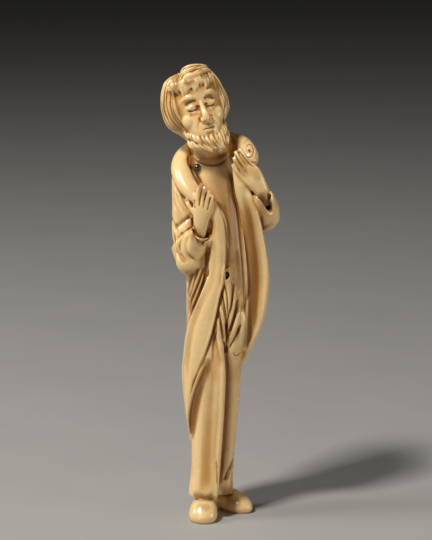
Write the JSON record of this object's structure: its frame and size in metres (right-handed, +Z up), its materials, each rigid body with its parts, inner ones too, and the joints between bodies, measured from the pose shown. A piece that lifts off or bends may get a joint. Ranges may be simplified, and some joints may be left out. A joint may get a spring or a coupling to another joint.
{
  "type": "netsuke figure",
  "caption": "Tall slender carved toggle: a bearded man in an open coat, trousers and shoes who holds his lapels, with inlaid dark buttons and a cord channel in the back.",
  "frame": {"origin": "on the ground, under the middle of the figure's bounding box", "axes": "+Z up along the figure, -Y is the way the man faces, +X is his left"},
  "size_m": [0.0274, 0.0186, 0.1103],
  "materials": {
    "ivory": "polished, with orange-brown stain in the recesses",
    "horn": "polished black horn"
  },
  "bodies": {
    "root": {"figure": "ivory", "collar_button": "horn", "waist_button": "horn"}
  },
  "joints": []
}
